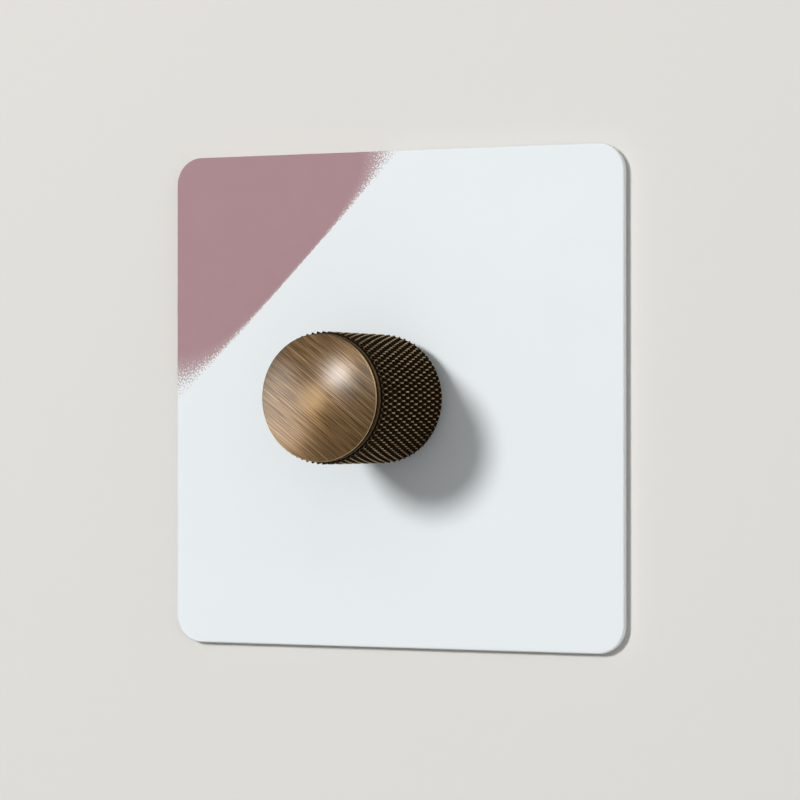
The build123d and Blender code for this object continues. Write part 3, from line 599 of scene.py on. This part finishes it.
FINISHES = {
    "plate_paint": paint,
    "zinc_steel": metal((0.56, 0.57, 0.58), roughness=0.42, grain=0.9, pull=(1.0, 1.0, 0.15)),
    "screw_steel": metal((0.62, 0.62, 0.63), roughness=0.3, grain=2.5),
    "plain_brass": metal((0.62, 0.44, 0.19), roughness=0.32, grain=2.0),
    "sink_aluminium": metal((0.66, 0.67, 0.68), roughness=0.4, grain=1.5, pull=(0.08, 1.0, 1.0)),
    "pot_steel": metal((0.58, 0.58, 0.59), roughness=0.35, grain=1.2),
    "housing_plastic": plastic((0.028, 0.028, 0.030), roughness=0.5, grain=2.2),
    "clip_plastic": plastic((0.62, 0.62, 0.59), roughness=0.45, grain=2.0),
    "core_plastic": plastic((0.035, 0.035, 0.036), roughness=0.45, grain=2.4),
    "board_laminate": laminate((0.03, 0.11, 0.035), fibre=(0.08, 0.2, 0.07), pitch=0.8),
    "wafer_laminate": laminate((0.16, 0.08, 0.035), fibre=(0.26, 0.15, 0.07), pitch=0.6),
    "device_plastic": plastic((0.02, 0.02, 0.021), roughness=0.4, grain=3.0),
    "ferrite": plastic((0.05, 0.05, 0.055), roughness=0.6, grain=1.5, depth=0.08),
    "copper": metal((0.55, 0.2, 0.08), roughness=0.25, grain=3.0),
    "film_plastic": plastic((0.42, 0.24, 0.04), roughness=0.22, grain=1.0),
    "sleeve_plastic": plastic((0.015, 0.02, 0.05), roughness=0.25, grain=1.2, depth=0.02),
    "fuse_body": fuse_tube,
    "contact_brass": metal((0.6, 0.41, 0.18), roughness=0.3, grain=2.2),
    "spring_steel": metal((0.6, 0.6, 0.61), roughness=0.25, grain=3.0),
    "antique_brass": knurled_brass,
}


def make_mesh(name, points, faces):
    mesh = bpy.data.meshes.new(name)
    mesh.from_pydata(points, [], faces)
    return mesh


def put(name, data):
    obj = bpy.data.objects.new(name, data)
    bpy.context.scene.collection.objects.link(obj)
    return obj


def knob_profile():
    """Rings (out, radius) of four stretches, from inside the knob's back to near the middle of its face."""
    foot_r = KNOB_R - FOOT_INSET
    root_r = KNOB_R - KNURL_DEPTH
    collar_r = KNOB_R - COLLAR_INSET
    groove_r = KNOB_R - GROOVE_INSET
    land_r = KNOB_R - LAND_INSET
    collar_front = KNURL_FRONT + COLLAR_LENGTH
    back = [
        (KNOB_BACK + CORE_HOLE_DEPTH, CORE_HOLE_R),
        (KNOB_BACK + RECESS_DEPTH, CORE_HOLE_R),
        (KNOB_BACK + RECESS_DEPTH, RECESS_R),
        (KNOB_BACK, RECESS_R),
        (KNOB_BACK, foot_r - FOOT_EDGE),
        (KNOB_BACK + FOOT_EDGE, foot_r),
        (KNURL_BACK, foot_r),
    ]
    rows = KNURL_STEPS * ROWS_A_STEP
    knurl = [(KNURL_BACK + i * (KNURL_FRONT - KNURL_BACK) / rows, root_r) for i in range(rows + 1)]
    land = [
        (KNURL_FRONT, collar_r),
        (collar_front, collar_r),
        (collar_front + collar_r - groove_r, groove_r),
        (FACE_EDGE - RIM_LENGTH - LAND_EDGE, groove_r),
        (FACE_EDGE - RIM_LENGTH, land_r),
    ]
    for i in range(LAND_EDGE_STEPS + 1):
        angle = math.pi / 2.0 * i / LAND_EDGE_STEPS
        out = FACE_EDGE - LAND_EDGE * (1.0 - math.sin(angle))
        land.append((out, land_r - LAND_EDGE * (1.0 - math.cos(angle))))
    face_r = land_r - LAND_EDGE
    sphere_r = (face_r**2 + FACE_CROWN**2) / (2.0 * FACE_CROWN)
    face = []
    for share in (FACE_FIRST_RING, *(1.0 - i / FACE_RINGS for i in range(1, FACE_RINGS))):
        r = face_r * share
        face.append((KNOB_FRONT - sphere_r + math.sqrt(sphere_r**2 - r**2), r))
    return back, knurl, land, face


def ridge(phase):
    """Height from 0 to 1 of a narrow, flat-topped ridge that repeats once a turn of phase."""
    away = abs(phase - round(phase))
    return min(1.0, max(0.0, RIDGE_FLAT * (1.0 - away / RIDGE_WIDTH)))


def knurl_height(out, turn):
    """Height from 0 to 1 of the two crossing sets of ridges."""
    lead = (out - KNURL_BACK) / KNURL_PERIOD
    return (ridge(KNURL_STARTS * turn + lead) + ridge(KNURL_STARTS * turn - lead)) / 2.0


def knurled_knob():
    """The knob as one closed skin: its side in the first material, its face in the second."""
    back, knurl, land, face = knob_profile()
    columns = KNURL_STARTS * COLUMNS_A_START
    points, faces, slots = [], [], []
    for stretch, depth in ((back, 0.0), (knurl, KNURL_DEPTH), (land, 0.0), (face, 0.0)):
        for out, r in stretch:
            for column in range(columns):
                turn = column / columns
                angle = 2.0 * math.pi * turn
                radius = r + depth * knurl_height(out, turn)
                points.append((radius * math.cos(angle), -out, radius * math.sin(angle)))
    inner, apex = len(points), len(points) + 1
    points += [(0.0, -back[0][0], 0.0), (0.0, -KNOB_FRONT, 0.0)]
    strips = len(back + knurl + land + face) - 1
    face_start = strips - len(face)
    last = strips * columns
    for column in range(columns):
        beside = (column + 1) % columns
        faces.append((inner, beside, column))
        slots.append(SIDE_SLOT)
        for strip in range(strips):
            low, high = strip * columns, (strip + 1) * columns
            faces.append((low + column, low + beside, high + beside, high + column))
            slots.append(FACE_SLOT if strip >= face_start else SIDE_SLOT)
        faces.append((apex, last + column, last + beside))
        slots.append(FACE_SLOT)
    mesh = make_mesh("knurled_knob", points, faces)
    mesh.polygons.foreach_set("material_index", slots)
    mesh.polygons.foreach_set("use_smooth", [True] * len(faces))
    mesh.set_sharp_from_angle(angle=SHARP_ANGLE)
    return mesh


materials = {name: finish(name, build) for name, build in FINISHES.items()}
for piece in frame["record"]["subparts"]:
    node = frame["nodes"][piece["node"]]
    node.data.materials.clear()
    node.data.materials.append(materials[piece["material_slot"]])

knob = put("knurled_knob", knurled_knob())
knob.data.materials.append(materials["antique_brass"])
knob.data.materials.append(finish("brushed_brass", brushed_brass))
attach(knob, "knob")
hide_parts("knob")


def plaster(tree):
    """A pale wall, seen only from its front."""
    skin = noise(tree, place(tree), PLASTER_SCALE, detail=3.0)
    lit = shader(tree, {
        "Base Color": mix(tree, skin, *shades(WALL_COLOUR, WALL_MOTTLE)),
        "Roughness": 0.9,
        "Specular IOR Level": 0.0,
    })
    behind = add(tree, "NewGeometry").outputs["Backfacing"]
    clear = add(tree, "BsdfTransparent").outputs[0]
    return add(tree, "MixShader", {0: behind, 1: lit, 2: clear}).outputs[0]


def wall_mesh():
    """A wall down to the floor, with a square opening that the yoke's flange covers."""
    points, faces = [], []
    for half, low in ((WALL_HALF, -FLOOR_DROP), (OPENING_HALF, -OPENING_HALF)):
        points += [(x, WALL_GAP, z) for x, z in ((-half, low), (half, low), (half, half), (-half, half))]
    for corner in range(CORNERS):
        beside = (corner + 1) % CORNERS
        faces.append((corner, beside, CORNERS + beside, CORNERS + corner))
    return make_mesh("wall", points, faces)


def floor_mesh():
    back, front = WALL_GAP, -FLOOR_DEPTH
    ends = ((-WALL_HALF, back), (-WALL_HALF, front), (WALL_HALF, front), (WALL_HALF, back))
    return make_mesh("floor", [(x, y, -FLOOR_DROP) for x, y in ends], [tuple(range(CORNERS))])


plaster_finish = finish("plaster", plaster)
for name, mesh in (("wall", wall_mesh()), ("floor", floor_mesh())):
    ground = put(name, mesh)
    ground.data.materials.append(plaster_finish)


def lamp(name, towards, distance, spread, radiance):
    """A round soft box that faces the plate; spread is its width as the plate sees it, in radians."""
    data = bpy.data.lights.new(name, "AREA")
    data.shape = "DISK"
    data.size = spread * distance
    area = math.pi * (data.size / 2.0)**2
    data.energy = radiance * math.pi * area
    obj = put(name, data)
    obj.location = towards.normalized() * distance
    obj.rotation_euler = (-towards).to_track_quat("-Z", "Y").to_euler()
    obj.visible_camera = False
    return obj


key_slope = -KEY_TOWARDS.normalized().y
key_radiance = KEY_LEVEL / (key_slope * (KEY_SPREAD / 2.0)**2)
key = lamp("key", KEY_TOWARDS, KEY_DISTANCE, KEY_SPREAD, key_radiance)
key.visible_glossy = False
glint = lamp("glint", GLINT_TOWARDS, GLINT_DISTANCE, GLINT_SPREAD, GLINT_RADIANCE)
card = lamp("card", CARD_TOWARDS, CARD_DISTANCE, CARD_SPREAD, CARD_RADIANCE)
side = lamp("side", SIDE_TOWARDS, SIDE_DISTANCE, SIDE_SPREAD, SIDE_RADIANCE)
for reflected in (glint, card, side):
    reflected.visible_diffuse = False
lamp("rear", REAR_TOWARDS, REAR_DISTANCE, REAR_SPREAD, REAR_RADIANCE)


def studio(tree):
    """The room: its fill lights the part, and the camera and reflections see the wall's colour."""
    path = add(tree, "LightPath").outputs
    direction = add(tree, "TexCoord").outputs["Generated"]
    reflected = maths(tree, "MAXIMUM", path["Is Glossy Ray"], path["Is Transmission Ray"])
    seen = maths(tree, "MAXIMUM", path["Is Camera Ray"], reflected)
    shade = ramp(tree, along(tree, direction, GLOSS_TOWARDS), GLOSS_START, GLOSS_END, GLOSS_LOW, GLOSS_HIGH)
    level = blend(tree, path["Is Camera Ray"], shade, 1.0)
    shown = add(tree, "Background", {"Color": (*WALL_COLOUR, 1.0), "Strength": level}).outputs[0]
    fill_level = ramp(tree, along(tree, direction, FILL_TOWARDS.normalized()), 0.0, 1.0, 0.0, FILL_HIGH)
    fill = add(tree, "Background", {"Color": (*FILL_COLOUR, 1.0), "Strength": fill_level}).outputs[0]
    return add(tree, "MixShader", {0: seen, 1: fill, 2: shown}).outputs[0]


bpy.context.scene.world = dress(bpy.data.worlds.new("studio"), "OutputWorld", studio)

lens = bpy.data.cameras.new("camera")
lens.sensor_width = SENSOR_WIDTH
lens.lens = SENSOR_WIDTH * FOCAL_PIXELS / IMAGE_PIXELS
lens.clip_start = CAMERA_NEAR
camera = put("camera", lens)
camera_x = CAMERA_DISTANCE * math.sin(CAMERA_AZIMUTH)
camera_y = -CAMERA_DISTANCE * math.cos(CAMERA_AZIMUTH)
camera.location = (camera_x, camera_y, CAMERA_HEIGHT)
camera.rotation_euler = (math.pi / 2.0 + CAMERA_PITCH, 0.0, CAMERA_AZIMUTH + CAMERA_YAW)
bpy.context.scene.camera = camera
bpy.context.scene.view_settings.view_transform = "Standard"
